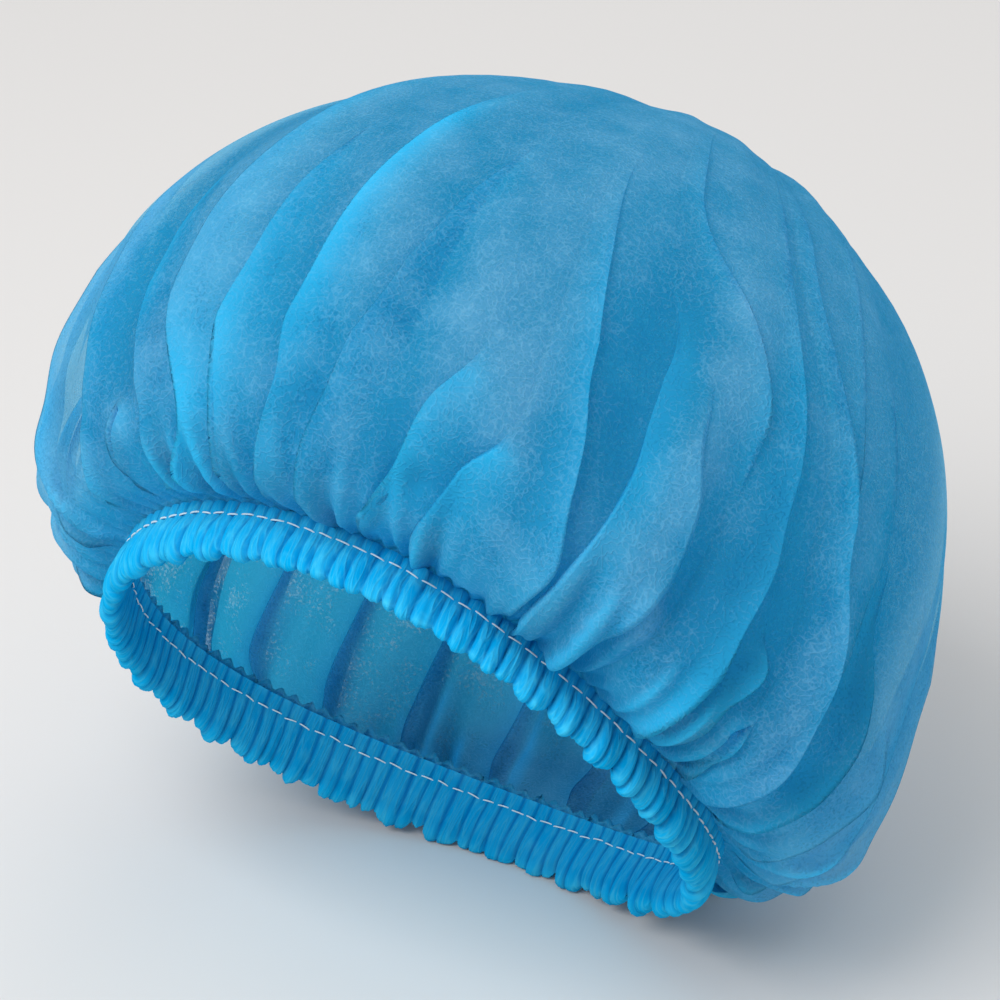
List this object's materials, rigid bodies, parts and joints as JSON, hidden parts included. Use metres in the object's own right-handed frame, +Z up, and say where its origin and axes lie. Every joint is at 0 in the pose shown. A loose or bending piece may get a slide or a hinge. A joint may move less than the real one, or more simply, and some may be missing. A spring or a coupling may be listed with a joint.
{
  "type": "disposable hairnet",
  "caption": "Light disposable bouffant cap: a gathered disc of thin blue nonwoven cloth puffed into a soft dome, with a ribbed elastic band around its opening.",
  "frame": {"origin": "middle of the lying cap's bounding box, on the floor that it lies on", "axes": "+Z up, +X to the right and +Y away as the cap is seen from its open side; the cap leans back and to the right by about 55 degrees"},
  "size_m": [0.2467, 0.2485, 0.2387],
  "materials": {
    "crown_cloth": "thin spunbond nonwoven, translucent, cloudy fibres",
    "casing_cloth": "several plies of the same nonwoven, ribbed by the gathers",
    "elastic_rubber": "plain white flat elastic, hidden inside the casing"
  },
  "bodies": {
    "root": {"crown": "crown_cloth", "hem_casing": "casing_cloth", "elastic": "elastic_rubber"}
  },
  "joints": []
}
